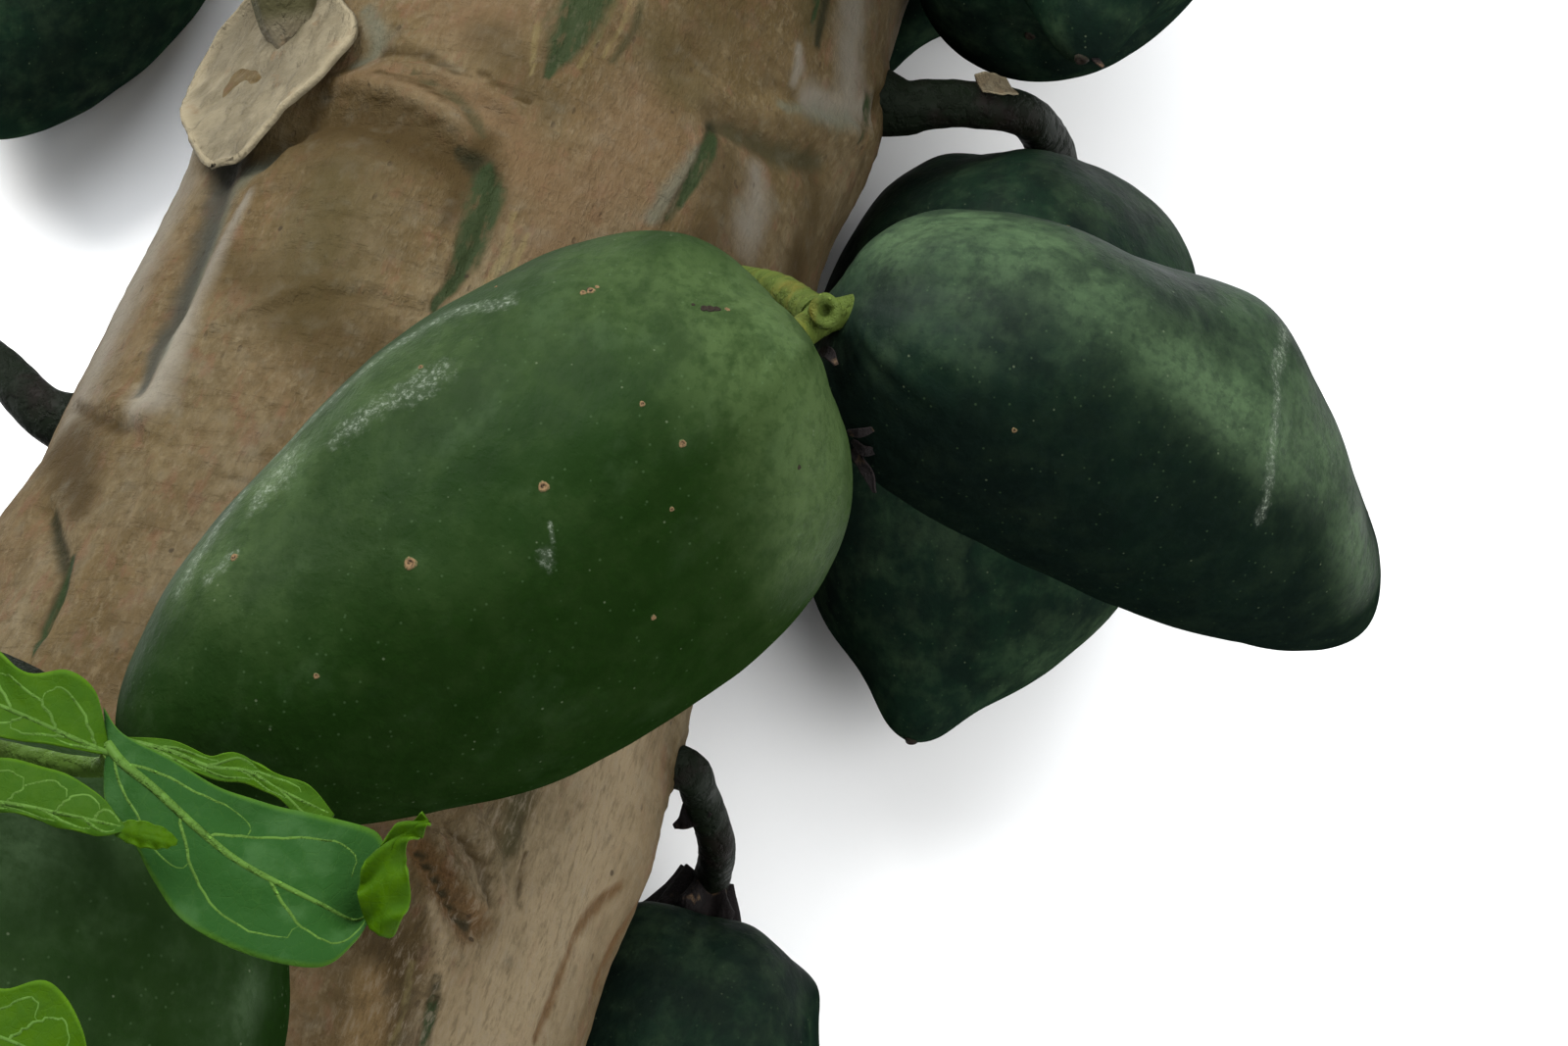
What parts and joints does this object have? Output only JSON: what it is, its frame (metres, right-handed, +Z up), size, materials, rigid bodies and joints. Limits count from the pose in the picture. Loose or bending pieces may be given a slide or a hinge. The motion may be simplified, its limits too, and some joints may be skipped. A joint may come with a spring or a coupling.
{
  "type": "cut fruiting pawpaw stem",
  "caption": "Cut length of pawpaw stem with green fruits on curved stalks, a dried leaf base and a young leaf shoot, lying on its side.",
  "frame": {"origin": "centre of the part's bounding box in plan, on the surface that the part lies on", "axes": "+Y runs along the stem towards its growing end, +Z points up out of the pictured side, +X to the right of it"},
  "size_m": [0.5304, 0.8, 0.3768],
  "materials": {
    "bark": "matte",
    "dried_base": "matte",
    "fruit_skin": "satin",
    "stalk": "satin",
    "young_stem": "satin",
    "leaf": "satin"
  },
  "bodies": {
    "root": {"trunk": "bark", "dried_leaf_base": "dried_base", "fruit_front": "fruit_skin", "fruit_right": "fruit_skin", "fruit_back_right": "fruit_skin", "fruit_low_right": "fruit_skin", "fruit_low_left": "fruit_skin", "fruit_left": "fruit_skin", "fruit_top_left": "fruit_skin", "fruit_top_right": "fruit_skin", "fruit_top_middle": "fruit_skin", "fruit_top_back": "fruit_skin", "stalk_front_pair": "stalk", "stalk_back_right": "stalk", "stalk_low_right": "stalk", "stalk_low_left": "stalk", "stalk_left": "stalk", "stalk_top_left": "stalk", "stalk_top_right": "stalk", "stalk_top_middle": "stalk", "stalk_top_back": "stalk", "young_shoot": "young_stem", "leaf_upper": "leaf", "leaf_lower": "leaf"}
  },
  "joints": []
}
